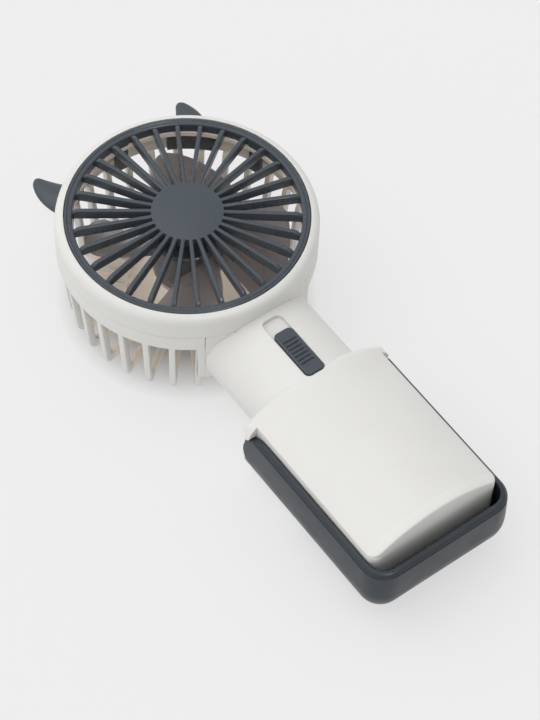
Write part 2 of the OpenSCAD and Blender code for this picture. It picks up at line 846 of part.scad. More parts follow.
module rear_shell() {
  placed() color([0.88, 0.88, 0.86]) difference() {
    union() {
      lower() difference() {
        union() {
          neck_outside(shell_r);
          handle_outside();
          shoulder();
        }
        hollow(shell_r + wall);
      }
      lower() intersection() {
        union() {
          for (p = screw_spots) {
            translate([p.x, -p.y, 0]) cylinder(r = screw_boss, h = far);
          }
          for (x = [-core_hw, core_hw - trunnion_reach - wall]) {
            translate([x, -hinge_y, hinge_z]) rotate([0, quarter, 0])
              cylinder(r = trunnion_boss, h = trunnion_reach + wall);
          }
          for (x = [-charge_hw, charge_hw - rail_w]) {
            translate([x, -charge_far, 0]) cube([rail_w, charge_far - charge_near, charge_z]);
          }
        }
        handle_outside();
      }
    }
    for (p = screw_spots) {
      translate([p.x, -p.y, 0]) cylinder(r = screw_hole, h = far);
      translate([p.x, -p.y, 0]) cylinder(r = screw_head_r + seam, h = screw_head_z);
    }
    for (x = [-core_hw - over, core_hw - trunnion_reach]) {
      translate([x, -hinge_y, hinge_z]) rotate([0, quarter, 0])
        cylinder(r = trunnion_r + trunnion_clear, h = trunnion_reach + over);
    }
    along(head_r - over, head_r + wall + over * 2) translate([0, hole_z]) circle(r = hole_r);
    along(handle_y - wall - over, handle_y + over) translate([0, usb_z])
      soft_box(usb_w + 2 * usb_clear, usb_h + 2 * usb_clear, usb_h / 2 - over / 2);
  }
}

// Side view of one rib: an upright and a bar along the back
module rib_section() {
  difference() {
    polygon([[plate_d / 2 - over * 2, 0], [head_r - rib_inset - cage_taper, 0], [head_r - rib_inset, band_z + over],
      [in_r - over, band_z + over], [head_r - rib_inset - rib_depth, band_z - over * 2],
      [head_r - rib_inset - cage_taper - rib_depth + over, bar_h + rib_fillet],
      [head_r - rib_inset - cage_taper - rib_depth + over - rib_fillet, bar_h], [plate_d / 2 - over * 2, bar_h]]);
    difference() {
      translate([head_r - rib_inset - cage_taper - foot_round, -over]) square([foot_round * 2, foot_round + over]);
      translate([head_r - rib_inset - cage_taper - foot_round + over / 2, foot_round]) circle(r = foot_round);
      translate([0, foot_round]) square(far);
    }
  }
}

module rear_grille() {
  placed() color([0.9, 0.9, 0.87]) difference() {
    union() {
      tube(head_r, in_r, band_z, parting_z);
      intersection() {
        tube(head_r, in_r, skirt_z, parting_z);
        translate([0, 0, skirt_z]) linear_extrude(far) wedge(down - skirt_a, down + skirt_a, far);
      }
      for (k = [0 : rib_count - 1]) {
        rotate(k * full / rib_count) translate([0, rib_t / 2, 0]) rotate([quarter, 0, 0])
          linear_extrude(rib_t) rib_section();
      }
      cylinder(r = plate_d / 2, h = plate_t);
      cylinder(r = pedestal_r, h = pedestal_z);
      cylinder(r = post_r, h = post_z);
      translate([-trough_w / 2, -trough_end, 0]) difference() {
        cube([trough_w, trough_end - pedestal_r + over, trough_h]);
        translate([trough_w / 4, -over, plate_t]) cube([trough_w / 2, far, far]);
      }
      at_legs() translate([catch_r, -catch_w / 2, catch_z])
        cube([in_r + head_wall / 2 - catch_r, catch_w, catch_h]);
    }
    translate([0, 0, plate_t]) cylinder(r = pedestal_r - pedestal_wall, h = pedestal_z - pedestal_top - plate_t);
    translate([0, 0, bearing_room_z]) cylinder(r = bearing_r, h = far);
    intersection() {
      tube(head_r + over, in_r - over, split_z - seam, parting_z + over);
      linear_extrude(far) wedge(down - tongue_a - seam_a, down + tongue_a + seam_a, far);
    }
    translate([-trough_w / 4, -trough_end - over, plate_t])
      cube([trough_w / 2, trough_end + over - plate_d / 2 + 4 * over, trough_h]);
    seam_groove();
    along(in_r - over * 4, head_r + over) translate([0, hole_z]) circle(r = hole_r);
    horn_rooms();
  }
}

// Side view of one spoke, from the disc to the ring
module spoke_section() {
  polygon([[spoke_root, disc_z - spoke_h], [spoke_root, disc_z], [spoke_bend_r, spoke_bend_z],
    [spoke_turn_r, spoke_turn_z], [spoke_end_r, ring_z - spoke_rim_drop],
    [spoke_end_r, ring_z - spoke_rim_drop - spoke_end_h]]);
}

module front_grille() {
  placed() color([0.25, 0.28, 0.3]) union() {
    rotate_extrude() difference() {
      translate([ring_r, seat_z]) square([ring_w, grille_h]);
      translate([ring_line_r, ring_z]) rotate(eighth) square(ring_groove, center = true);
      translate([grille_r, ring_z]) rotate(eighth) square(ring_edge, center = true);
    }
    translate([0, 0, disc_z - spoke_h]) cylinder(r = disc_d / 2, h = spoke_h);
    for (k = [0 : spoke_count - 1]) {
      rotate(k * full / spoke_count) translate([0, spoke_w / 2, 0]) rotate([quarter, 0, 0])
        linear_extrude(spoke_w) spoke_section();
    }
    at_legs() {
      translate([0, leg_w / 2, 0]) rotate([quarter, 0, 0]) linear_extrude(leg_w)
        polygon([[leg_r, seat_z + over], [leg_r + leg_t, seat_z + over], [leg_r + leg_t, hook_z + hook_h],
          [leg_r + leg_t + hook_out, hook_z + hook_h], [leg_r + leg_t + hook_out, hook_z + hook_h / 2],
          [leg_r + leg_t, hook_z], [leg_r, hook_z]]);
    }
  }
}

// One horn with the stem and plate that the parting line traps
module horn() {
  faces_side = [for (i = [0 : horn_last - 1]) for (j = [0 : horn_sides - 1])
    [i * horn_sides + j, i * horn_sides + (j + 1) % horn_sides, (i + 1) * horn_sides + j]];
  faces_back = [for (i = [0 : horn_last - 1]) for (j = [0 : horn_sides - 1])
    [i * horn_sides + (j + 1) % horn_sides, (i + 1) * horn_sides + (j + 1) % horn_sides, (i + 1) * horn_sides + j]];
  faces_tip = [for (j = [0 : horn_sides - 1])
    [horn_last * horn_sides + j, horn_last * horn_sides + (j + 1) % horn_sides, horn_rings * horn_sides]];
  face_root = [[for (j = [0 : horn_sides - 1]) horn_sides - 1 - j]];
  difference() {
    polyhedron(horn_points, concat(faces_side, faces_back, faces_tip, face_root));
    translate([0, 0, parting_z - far / 2]) cylinder(r = head_r + seam, h = far);
  }
  rotate(horn_a) translate([in_r - plate_in - plate_th / 2, -stem_w / 2, parting_z - stem_h / 2])
    cube([head_wall + plate_in + plate_th / 2 + stem_out, stem_w, stem_h]);
  intersection() {
    tube(in_r - plate_in, in_r - plate_in - plate_th, band_z + plate_rise, parting_z + horn_plate_up);
    rotate(horn_a) translate([0, -horn_plate_w / 2, 0]) cube([far, horn_plate_w, far]);
  }
}

module horn_left() {
  placed() color([0.25, 0.28, 0.3]) mirror([1, 0, 0]) horn();
}

module horn_right() {
  placed() color([0.25, 0.28, 0.3]) horn();
}

module impeller() {
  placed() color([0.42, 0.4, 0.4]) union() {
    difference() {
      rotate_extrude() {
        translate([0, hub_low]) square([hub_r, hub_h - hub_round]);
        translate([0, hub_low]) square([hub_r - hub_round, hub_h]);
        translate([hub_r - hub_round, hub_z - hub_round]) circle(r = hub_round);
      }
      translate([0, 0, hub_low - over]) difference() {
        cylinder(r = hub_in, h = hub_h - hub_top_t + over);
        translate([0, 0, spindle_z - hub_low + over]) cylinder(r = spindle_r, h = far);
      }
      translate([0, 0, hub_low - over]) cylinder(r = shaft_r, h = shaft_top - hub_low + over);
    }
    for (k = [0 : blade_count - 1]) {
      rotate(k * full / blade_count) polyhedron(blade_points, [for (f = blade_faces) [f[2], f[1], f[0]]]);
    }
  }
}

module rotor_yoke() {
  placed() color([0.7, 0.7, 0.7]) tube(hub_in, magnet_r, yoke_z, hub_z - hub_top_t);
}

module rotor_magnet() {
  placed() color([0.15, 0.15, 0.16]) tube(magnet_r, magnet_in, magnet_z, magnet_z + magnet_h);
}

module motor_shaft() {
  placed() color([0.8, 0.8, 0.8]) translate([0, 0, shaft_z]) cylinder(r = shaft_r, h = shaft_top - shaft_z);
}

module shaft_clip() {
  placed() color([0.5, 0.5, 0.5]) difference() {
    tube(clip_r, shaft_r, clip_z, clip_z + clip_t);
    translate([0, -shaft_r / 2, clip_z - over]) cube([far, shaft_r, clip_t + 2 * over]);
  }
}

module motor_bearing() {
  placed() color([0.72, 0.55, 0.25]) tube(bearing_r, shaft_r + shaft_clear, bearing_z, post_z);
}

module stator_core() {
  placed() color([0.45, 0.45, 0.47]) union() {
    tube(core_r, post_r, stator_z, stator_z + stator_h);
    difference() {
      tube(stator_r, stator_r - pole_tip, stator_z, stator_z + stator_h);
      for (k = [0 : pole_count - 1]) {
        rotate((k + 1 / 2) * full / pole_count) translate([0, -pole_w / 2, stator_z - over])
          cube([far, pole_w, stator_h + 2 * over]);
      }
    }
    for (k = [0 : pole_count - 1]) {
      rotate(k * full / pole_count) translate([core_r - over, -pole_w / 2, stator_z])
        cube([stator_r - pole_tip - core_r + 2 * over, pole_w, stator_h]);
    }
  }
}

module stator_windings() {
  placed() color([0.75, 0.4, 0.2]) for (k = [0 : pole_count - 1]) {
    rotate(k * full / pole_count) difference() {
      translate([core_r + winding_gap, -pole_w / 2 - winding_t, stator_z - winding_h])
        cube([stator_r - pole_tip - core_r - 3 * winding_gap, pole_w + 2 * winding_t, stator_h + 2 * winding_h]);
      translate([0, -pole_w / 2, stator_z]) cube([far, pole_w, stator_h]);
    }
  }
}

module motor_board() {
  placed() color([0.1, 0.35, 0.2]) tube(motor_board_r, post_r, pedestal_z, pedestal_z + motor_board_t);
}

module slider_button() {
  placed() color([0.25, 0.28, 0.3]) difference() {
    union() {
      translate([0, -button_y, slot_floor + button_lift]) linear_extrude(button_top - slot_floor - button_lift - button_edge)
        soft_box(button_w, button_l, button_r);
      translate([0, -button_y, slot_floor + button_lift]) linear_extrude(button_top - slot_floor - button_lift)
        soft_box(button_w - button_edge, button_l - button_edge, button_r - button_edge / 2);
      translate([-stem_x / 2, -button_y - stem_y / 2, stem_low])
        cube([stem_x, stem_y, slot_floor + button_lift + over - stem_low]);
    }
    for (k = [0 : grip_count]) {
      translate([-grip_l / 2, -button_y + (k - grip_count / 2) * grip_pitch - (grip_pitch - grip_w) / 2, button_top - grip_deep])
        cube([grip_l, grip_pitch - grip_w, far]);
    }
    translate([-knob_w / 2 - knob_fit, -knob_mid - knob_l / 2 - knob_fit, 0])
      cube([knob_w + 2 * knob_fit, knob_l + 2 * knob_fit, switch_top + knob_h + knob_fit]);
  }
}

module switch_body() {
  placed() color([0.75, 0.76, 0.78]) difference() {
    translate([-switch_w / 2, -switch_mid - switch_l / 2, board_top]) cube([switch_w, switch_l, switch_h]);
    translate([-knob_w / 2 - stem_gap, -switch_mid - (knob_l + travel) / 2 - stem_gap, switch_top - switch_deep])
      cube([knob_w + 2 * stem_gap, knob_l + travel + 2 * stem_gap, far]);
  }
}

module switch_actuator() {
  placed() color([0.1, 0.1, 0.1]) translate([-knob_w / 2, -knob_mid - knob_l / 2, switch_top - switch_deep + seam])
    cube([knob_w, knob_l, knob_h + switch_deep - seam]);
}

module control_board() {
  placed() color([0.1, 0.35, 0.2]) difference() {
    translate([-board_hw, -board_far, board_z]) cube([2 * board_hw, board_far - board_near, board_t]);
    for (p = board_boss) {
      translate([p.x, -p.y, board_z - over]) cylinder(r = board_hole_r, h = board_t + 2 * over);
    }
  }
}

module driver_chip() {
  placed() color([0.08, 0.08, 0.09]) translate([-chip_size.x / 2, -chip_y, board_z - chip_size.z]) cube(chip_size);
}

module charge_board() {
  placed() color([0.1, 0.35, 0.2]) translate([-charge_hw, -charge_far, charge_z])
    cube([2 * charge_hw, charge_far - charge_near, board_t]);
}

module usb_socket() {
  placed() color([0.78, 0.78, 0.78]) union() {
    difference() {
      along(usb_y - usb_l, usb_y) translate([0, usb_z]) soft_box(usb_w, usb_h, usb_h / 2 - over / 2);
      along(usb_y - usb_l + usb_wall * 3, usb_y + over) translate([0, usb_z])
        soft_box(usb_w - 2 * usb_wall, usb_h - 2 * usb_wall, usb_h / 2 - usb_wall - over / 2);
    }
    along(usb_y - usb_l, usb_y - usb_tongue_back) translate([0, usb_z]) square([usb_tongue_w, usb_tongue], center = true);
  }
}

module charge_led() {
  placed() color([0.95, 0.93, 0.8]) translate([led_x, -charge_far, charge_top]) cube(led_size);
}

module battery_cell() {
  placed() color([0.72, 0.73, 0.75]) translate([0, -cell_y - cell_l, cell_z + cell_t / 2])
    rotate([down, 0, 0]) linear_extrude(cell_l) soft_box(cell_w, cell_t, cell_edge);
}

module battery_pad() {
  placed() color([0.2, 0.2, 0.2]) translate([-cell_w / 2 + pad_inset, -cell_y - cell_l + pad_inset, floor_z])
    cube([cell_w - 2 * pad_inset, cell_l - 2 * pad_inset, pad_t]);
}

// One lead along a row of points
module lead(points) {
  last = len(points) - 1;
  way = [for (k = [0 : last]) points[min(k + 1, last)] - points[max(k - 1, 0)]];
  side = [for (w = way) cross(w, lead_ref) / norm(cross(w, lead_ref))];
  rise = [for (k = [0 : last]) cross(way[k], side[k]) / norm(way[k])];
  ring = [for (k = [0 : last]) for (j = [0 : lead_sides - 1])
    points[k] + lead_r * (side[k] * cos(j * full / lead_sides) + rise[k] * sin(j * full / lead_sides))];
  front = [for (k = [0 : last - 1]) for (j = [0 : lead_sides - 1])
    [k * lead_sides + j, (k + 1) * lead_sides + j, k * lead_sides + (j + 1) % lead_sides]];
  back = [for (k = [0 : last - 1]) for (j = [0 : lead_sides - 1])
    [k * lead_sides + (j + 1) % lead_sides, (k + 1) * lead_sides + j, (k + 1) * lead_sides + (j + 1) % lead_sides]];
  cap_in = [[for (j = [0 : lead_sides - 1]) j]];
  cap_out = [[for (j = [0 : lead_sides - 1]) (last + 1) * lead_sides - 1 - j]];
  polyhedron(ring, concat(front, back, cap_in, cap_out));
}

// The three leads of one colour: motor to board, cell to charge board, charge board to control board
module leads(side) {
  x = side * lead_x;
  s = side * side_lead;
  lead([[x, -lead_start_r, lead_start_z], [x, -lead_over_r, lead_over_z], [x, -lead_down_r, lead_low],
    [x, -lead_up_r, lead_low], [x, -lead_up_r - 1, hole_z], [x, -lead_neck_y, hole_z],
    [side * lead_board_x, -lead_board_y, board_z - lead_r - lead_end]]);
  lead([[side * lead_cell_x, -cell_y - cell_l - lead_end, charge_top + lead_r + 1],
    [side * lead_cell_x, -lead_cell_y, charge_top + lead_r + lead_end]]);
  lead([[side * lead_out_x, -lead_out_y, charge_top + lead_r + lead_end], [s, -lead_side_y, cell_z + cell_t / 2],
    [s, -lead_turn_y, cell_z + cell_t / 2], [side * lead_turn_x, -lead_turn_y, lead_turn_z],
    [side * lead_in_x, -lead_in_y, board_z - lead_r - lead_end]]);
}

module red_leads() {
  placed() color([0.75, 0.12, 0.1]) leads(-1);
}

module black_leads() {
  placed() color([0.08, 0.08, 0.08]) leads(1);
}

module shell_screws() {
  placed() color([0.7, 0.7, 0.7]) for (p = screw_spots) {
    translate([p.x, -p.y, screw_head_z - screw_head_h]) difference() {
      union() {
        cylinder(r = screw_head_r, h = screw_head_h);
        cylinder(r = screw_r, h = screw_top - screw_end - screw_head_z + screw_head_h);
      }
      for (a = [0, quarter]) {
        rotate(a) translate([-screw_r, -cross_w / 2, -over]) cube([2 * screw_r, cross_w, over + cross_deep]);
      }
    }
  }
}

module board_screws() {
  placed() color([0.7, 0.7, 0.7]) for (p = board_boss) {
    translate([p.x, -p.y, board_z - board_head_h]) {
      cylinder(r = board_head_r, h = board_head_h);
      cylinder(r = board_screw_r, h = board_head_h + board_screw_l - board_screw_end);
    }
  }
}

// Half a section of the tray that the stand is cut from, its outermost point at zero: a bulged wall
// with a soft top edge and a rounded back edge
module wall_section(inset, high, soft) {
  intersection() {
    union() {
      translate([-far, inset]) square([far - stand_round, high - inset]);
      translate([-far, stand_round]) square([far - inset, high - soft - stand_round]);
      translate([-far, stand_round]) square([far - soft - lip_in - lip_step, high - stand_round]);
      translate([-stand_round, stand_round]) circle(r = stand_round - inset);
      translate([-soft - lip_in - lip_step, high - soft]) circle(r = max(soft, over));
    }
    translate([-far, inset]) square([far - inset, high - inset]);
    translate([-bulge_r, stand_round]) circle(r = bulge_r - inset);
  }
}

// The tray, or the room in it: a trough along the handle, closed at the end, with rounded corners
module tray(inset, high, soft) {
  difference() {
    intersection() {
      along(hinge_y - knuckle_r - over, stand_y) intersection() {
        translate([stand_hw, 0]) wall_section(inset, high, soft);
        mirror([1, 0]) translate([stand_hw, 0]) wall_section(inset, high, soft);
      }
      across(-far, far) mirror([1, 0]) translate([stand_y, 0]) wall_section(inset, high, soft);
    }
    for (x = [-stand_hw - over, stand_hw - stand_corner]) {
      translate([x, -stand_y - over, -over]) cube([stand_corner + over, stand_corner + over, far]);
    }
  }
  for (x = [stand_corner - stand_hw, stand_hw - stand_corner]) {
    translate([x, stand_corner - stand_y, 0]) rotate_extrude() intersection() {
      translate([stand_corner, 0]) wall_section(inset, high, soft);
      square([stand_corner, far]);
    }
  }
}

module stand() {
  placed() color([0.25, 0.28, 0.3]) union() {
    intersection() {
      difference() {
        tray(0, stand_h, lip_r);
        tray(stand_wall, far / 4, 0);
        translate([-ear_in, -hinge_y - floor_start, -over]) cube([2 * ear_in, far, far]);
      }
      across(-far / 2, far / 2) difference() {
        union() {
          translate([-far, 0]) square([far - hinge_y, stand_h]);
          translate([-hinge_y, hinge_z]) circle(r = knuckle_r);
        }
        translate([-hinge_y - floor_start, 0]) square([far, ear_low]);
      }
    }
    for (x = [-stand_in - over, stand_in - trunnion_reach]) {
      translate([x, -hinge_y, hinge_z]) rotate([0, quarter, 0])
        cylinder(r = trunnion_r, h = trunnion_reach + over);
    }
  }
}

front_shell();
rear_shell();
rear_grille();
front_grille();
horn_left();
horn_right();
impeller();
rotor_yoke();
rotor_magnet();
motor_shaft();
shaft_clip();
motor_bearing();
stator_core();
stator_windings();
motor_board();
slider_button();
switch_body();
switch_actuator();
control_board();
driver_chip();
charge_board();
usb_socket();
charge_led();
battery_cell();
battery_pad();
red_leads();
black_leads();
shell_screws();
board_screws();
stand();
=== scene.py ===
import math

import bmesh
import bpy
from mathutils import Matrix, Vector


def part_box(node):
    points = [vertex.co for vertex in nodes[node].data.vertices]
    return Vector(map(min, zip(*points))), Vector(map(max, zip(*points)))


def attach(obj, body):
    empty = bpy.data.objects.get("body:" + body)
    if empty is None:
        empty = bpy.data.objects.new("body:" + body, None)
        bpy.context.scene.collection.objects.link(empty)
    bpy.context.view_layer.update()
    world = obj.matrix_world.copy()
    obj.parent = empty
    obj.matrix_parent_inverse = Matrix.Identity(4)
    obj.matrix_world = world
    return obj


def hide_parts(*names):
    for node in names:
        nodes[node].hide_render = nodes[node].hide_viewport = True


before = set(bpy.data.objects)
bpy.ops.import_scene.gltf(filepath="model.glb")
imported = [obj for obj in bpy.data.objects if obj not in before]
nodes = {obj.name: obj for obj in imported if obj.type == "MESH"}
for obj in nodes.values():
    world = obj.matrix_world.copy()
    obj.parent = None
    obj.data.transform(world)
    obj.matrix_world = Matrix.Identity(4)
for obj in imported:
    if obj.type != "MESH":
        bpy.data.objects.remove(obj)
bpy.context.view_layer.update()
scene = bpy.context.scene
MM = 0.001
HEAD_Y = (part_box("motor_shaft")[0].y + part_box("motor_shaft")[1].y) / 2

# Most of a noise lies between these
NOISE_LOW, NOISE_HIGH = 0.3, 0.7
# Where the painted warm bounce light inside the cage starts and where it is full, in metres: on the inner wall of its
# ring, within its ribs, and below its top
WALL_R, WALL_Z = (0.0392, 0.0386), (0.021, 0.025)
RIBS_R, TOP_Z = (0.0355, 0.0335), (0.0385, 0.0370)
# Strength of the faint light the cage's inside gives off: painted light, not a lamp
PAINTED_CAGE_GLOW = 0.10
# Where the impeller's thin blades end and its thick hub starts, in metres; the hub gets painted shade, a darker colour,
# as under the grille's centre disc
HUB_R = (0.0116, 0.0108)


# Materials

def tree_of(name):
    mat = bpy.data.materials.new(name)
    mat.use_nodes = True
    tree = mat.node_tree
    return mat, tree, tree.nodes["Principled BSDF"]


def add(tree, kind, **values):
    """A new node, with values for its inputs or for its own settings."""
    node = tree.nodes.new(kind)
    for key, value in values.items():
        if key in node.inputs:
            node.inputs[key].default_value = value
        else:
            setattr(node, key, value)
    return node


def place(tree):
    return add(tree, "ShaderNodeTexCoord").outputs["Object"]


def noise(tree, where, scale, detail=2.0):
    node = add(tree, "ShaderNodeTexNoise", Scale=scale, Detail=detail)
    tree.links.new(where, node.inputs["Vector"])
    return node.outputs["Fac"]


def ramp(tree, value, low, high, a=0.0, b=1.0):
    """Maps low to a and high to b, and holds these beyond."""
    node = add(tree, "ShaderNodeMapRange", **{"From Min": low, "From Max": high, "To Min": a, "To Max": b})
    tree.links.new(value, node.inputs["Value"])
    return node.outputs["Result"]


def stretched(tree, value, a=0.0, b=1.0):
    """A noise made to run from a to b."""
    return ramp(tree, value, NOISE_LOW, NOISE_HIGH, a, b)


def blend_colour(tree, fac, a, b):
    """A mix of two colours, each a constant or the output of a node."""
    node = add(tree, "ShaderNodeMix", data_type="RGBA")
    tree.links.new(fac, node.inputs[0])
    for socket, value in ((node.inputs[6], a), (node.inputs[7], b)):
        if isinstance(value, tuple):
            socket.default_value = (*value, 1)
        else:
            tree.links.new(value, socket)
    return node.outputs[2]


def combined(tree, operation, a, b):
    node = add(tree, "ShaderNodeMath", operation=operation)
    tree.links.new(a, node.inputs[0])
    tree.links.new(b, node.inputs[1])
    return node.outputs[0]


def from_axis(tree, where):
    """Distance from the head's axis, and height."""
    spot = add(tree, "ShaderNodeSeparateXYZ")
    tree.links.new(where, spot.inputs["Vector"])
    flat = add(tree, "ShaderNodeCombineXYZ")
    tree.links.new(spot.outputs["X"], flat.inputs["X"])
    away = add(tree, "ShaderNodeMath", operation="SUBTRACT")
    away.inputs[1].default_value = HEAD_Y
    tree.links.new(spot.outputs["Y"], away.inputs[0])
    tree.links.new(away.outputs[0], flat.inputs["Y"])
    size = add(tree, "ShaderNodeVectorMath", operation="LENGTH")
    tree.links.new(flat.outputs["Vector"], size.inputs[0])
    return size.outputs["Value"], spot.outputs["Z"]


def inside(tree, where):
    """How far a point lies inside the cage, or on the inner wall of its ring, where the painted warm bounce light goes:
    0 outside, 1 within.
    """
    r, z = from_axis(tree, where)
    wall = combined(tree, "MULTIPLY", ramp(tree, r, *WALL_R), ramp(tree, z, *WALL_Z))
    near = combined(tree, "MAXIMUM", wall, ramp(tree, r, *RIBS_R))
    return combined(tree, "MULTIPLY", near, ramp(tree, z, *TOP_Z))


def on_hub(tree, where):
    """1 on the thick hub of the impeller, where the painted shade goes, 0 on its thin blades."""
    r, _ = from_axis(tree, where)
    return ramp(tree, r, *HUB_R)


def moulded(name, low, high, rough, grain=0.03, mottle=60, fine=2600, edge=0.35, ior=1.46, painted_warm_bounce=None, hub_shade=None):
    """Moulded plastic: slow colour drift, fine spark-eroded grain, uneven gloss, and edges softened by a radius in mm.

    The cage's colour is painted warm bounce light on its inside, which also shines faintly though it is no lamp, and
    the hub's colour is painted shade on the impeller's hub, from the grille's centre disc above it."""
    grain_depth, gloss_drift, gloss_mottle = 0.00012, 0.05, mottle * 5
    mat, tree, bsdf = tree_of(name)
    where = place(tree)
    colour = blend_colour(tree, stretched(tree, noise(tree, where, mottle, 3.0)), low, high)
    # Painted shade on the hub, which lies under the grille's centre disc
    if hub_shade:
        colour = blend_colour(tree, on_hub(tree, where), colour, hub_shade)
    if painted_warm_bounce:
        # Painted warm bounce light inside the cage: a warmer colour there, which also shines faintly though it is no
        # lamp
        within = inside(tree, where)
        colour = blend_colour(tree, within, colour, painted_warm_bounce)
        bsdf.inputs["Emission Color"].default_value = (*painted_warm_bounce, 1)
        tree.links.new(ramp(tree, within, 0.0, 1.0, 0.0, PAINTED_CAGE_GLOW), bsdf.inputs["Emission Strength"])
    tree.links.new(colour, bsdf.inputs["Base Color"])
    gloss = stretched(tree, noise(tree, where, gloss_mottle), rough - gloss_drift, rough + gloss_drift)
    tree.links.new(gloss, bsdf.inputs["Roughness"])
    bump = add(tree, "ShaderNodeBump", Strength=grain, Distance=grain_depth)
    tree.links.new(noise(tree, where, fine), bump.inputs["Height"])
    if edge:
        soft = add(tree, "ShaderNodeBevel", samples=6, Radius=edge * MM)
        tree.links.new(soft.outputs["Normal"], bump.inputs["Normal"])
    tree.links.new(bump.outputs["Normal"], bsdf.inputs["Normal"])
    bsdf.inputs["IOR"].default_value = ior
    return mat


def metal(name, low, high, rough, stretch=(1, 1, 12), mottle=400):
    """Metal with drawn streaks and uneven polish."""
    streak_depth, polish_drift = 0.00005, 0.08
    mat, tree, bsdf = tree_of(name)
    scale = add(tree, "ShaderNodeMapping", Scale=stretch)
    tree.links.new(place(tree), scale.inputs["Vector"])
    streak = noise(tree, scale.outputs["Vector"], mottle, 4.0)
    tree.links.new(blend_colour(tree, stretched(tree, streak), low, high), bsdf.inputs["Base Color"])
    tree.links.new(stretched(tree, streak, rough - polish_drift, rough + polish_drift), bsdf.inputs["Roughness"])
    bump = add(tree, "ShaderNodeBump", Strength=0.06, Distance=streak_depth)
    tree.links.new(streak, bump.inputs["Height"])
    tree.links.new(bump.outputs["Normal"], bsdf.inputs["Normal"])
    bsdf.inputs["Metallic"].default_value = 1.0
    return mat


def dress(name, mat):
    node = nodes[name]
    node.data.materials.clear()
    node.data.materials.append(mat)


SHELL = (0.735, 0.730, 0.705), (0.755, 0.750, 0.725)
white = moulded("white_shell", *SHELL, 0.46)
crisp = moulded("white_edge", *SHELL, 0.46, edge=0)
# White plastic for the cage, with painted warm bounce light on its inside, which also shines faintly
white_with_painted_bounce = moulded("cage_white", (0.735, 0.729, 0.703), (0.755, 0.749, 0.723), 0.46, painted_warm_bounce=(0.82, 0.735, 0.63))
slate = moulded("slate_plastic", (0.062, 0.076, 0.089), (0.067, 0.082, 0.096), 0.28, mottle=35, edge=0.1, ior=1.36)
# The same slate plastic as the grille, with less gloss; its darker colour is painted shade for the shadowed floor
# beside the stand
stand_slate_shaded = moulded("stand_plastic_shaded", (0.037, 0.045, 0.052), (0.041, 0.049, 0.057), 0.34, mottle=35, ior=1.32)
# Smoky plastic for the impeller, with painted shade on its hub
smoke = moulded("smoky_blades", (0.27, 0.232, 0.228), (0.31, 0.268, 0.262), 0.30, grain=0.01, mottle=25, edge=0.3,
                hub_shade=(0.072, 0.076, 0.085))
black = moulded("black_moulding", (0.010, 0.010, 0.011), (0.018, 0.018, 0.019), 0.5, mottle=300)
grey = moulded("grey_moulding", (0.48, 0.49, 0.51), (0.54, 0.55, 0.57), 0.5, mottle=300)
lamp = moulded("charge_lamp", (0.85, 0.80, 0.52), (0.90, 0.86, 0.60), 0.2, mottle=500, edge=0.1)
foam = moulded("pad_foam", (0.025, 0.025, 0.026), (0.05, 0.05, 0.052), 0.95, grain=0.8, mottle=700, fine=1800, edge=0.2)
board = moulded("circuit_board", (0.008, 0.075, 0.030), (0.015, 0.125, 0.055), 0.32, mottle=420, edge=0.1)
red_wire = moulded("red_insulation", (0.42, 0.012, 0.010), (0.52, 0.020, 0.016), 0.42, mottle=300, edge=0)
black_wire = moulded("black_insulation", (0.010, 0.010, 0.010), (0.018, 0.018, 0.018), 0.42, mottle=300, edge=0)
steel = metal("drawn_steel", (0.52, 0.52, 0.53), (0.68, 0.68, 0.68), 0.32)
magnet = metal("sintered_magnet", (0.045, 0.045, 0.048), (0.075, 0.075, 0.08), 0.5, stretch=(1, 1, 1), mottle=1500)
laminations = metal("stamped_laminations", (0.22, 0.22, 0.24), (0.38, 0.38, 0.40), 0.42, stretch=(0.05, 0.05, 9),
                    mottle=300)
copper = metal("enamelled_copper", (0.45, 0.16, 0.05), (0.62, 0.26, 0.10), 0.28, stretch=(0.4, 0.4, 10), mottle=350)
bronze = metal("sintered_bronze", (0.45, 0.29, 0.09), (0.60, 0.42, 0.16), 0.5, stretch=(1, 1, 1), mottle=1800)
foil = metal("pouch_foil", (0.55, 0.56, 0.58), (0.66, 0.67, 0.69), 0.34, stretch=(1, 0.3, 1), mottle=220)

for name, mat in {
    "front_shell": white_with_painted_bounce, "rear_shell": white, "rear_grille": white_with_painted_bounce,
    "front_grille": slate, "horn_left": slate, "horn_right": slate, "slider_button": slate, "stand": stand_slate_shaded,
    "impeller": smoke, "rotor_yoke": steel, "rotor_magnet": magnet, "motor_shaft": steel, "shaft_clip": steel,
    "motor_bearing": bronze, "stator_core": laminations, "stator_windings": copper, "motor_board": board,
    "switch_body": grey, "switch_actuator": black, "control_board": board, "driver_chip": black,
    "charge_board": board, "usb_socket": steel, "charge_led": lamp, "battery_cell": foil, "battery_pad": foam,
    "red_leads": red_wire, "black_leads": black_wire, "shell_screws": steel, "board_screws": steel,
}.items():
    dress(name, mat)


# Pieces with finer meshes than the construction's solids, in the same places. Their sizes are in millimetres, from the
# head's axis and from the table, and their angles in degrees.

HEAD_R = 41.0
PARTING_Z = 32
NECK_A = -90
SPOKES = RIBS = 30
SNAPS = 5


def polar(r, a):
    return Vector((r * math.cos(math.radians(a)), r * math.sin(math.radians(a))))


def facing(a):
    """A function that places a point, given as outward, sideways and up, at an angle about the head's axis."""
    u, v = polar(1, a), polar(1, a + 90)
    return lambda r, s, z: (u.x * r + v.x * s, u.y * r + v.y * s, z)


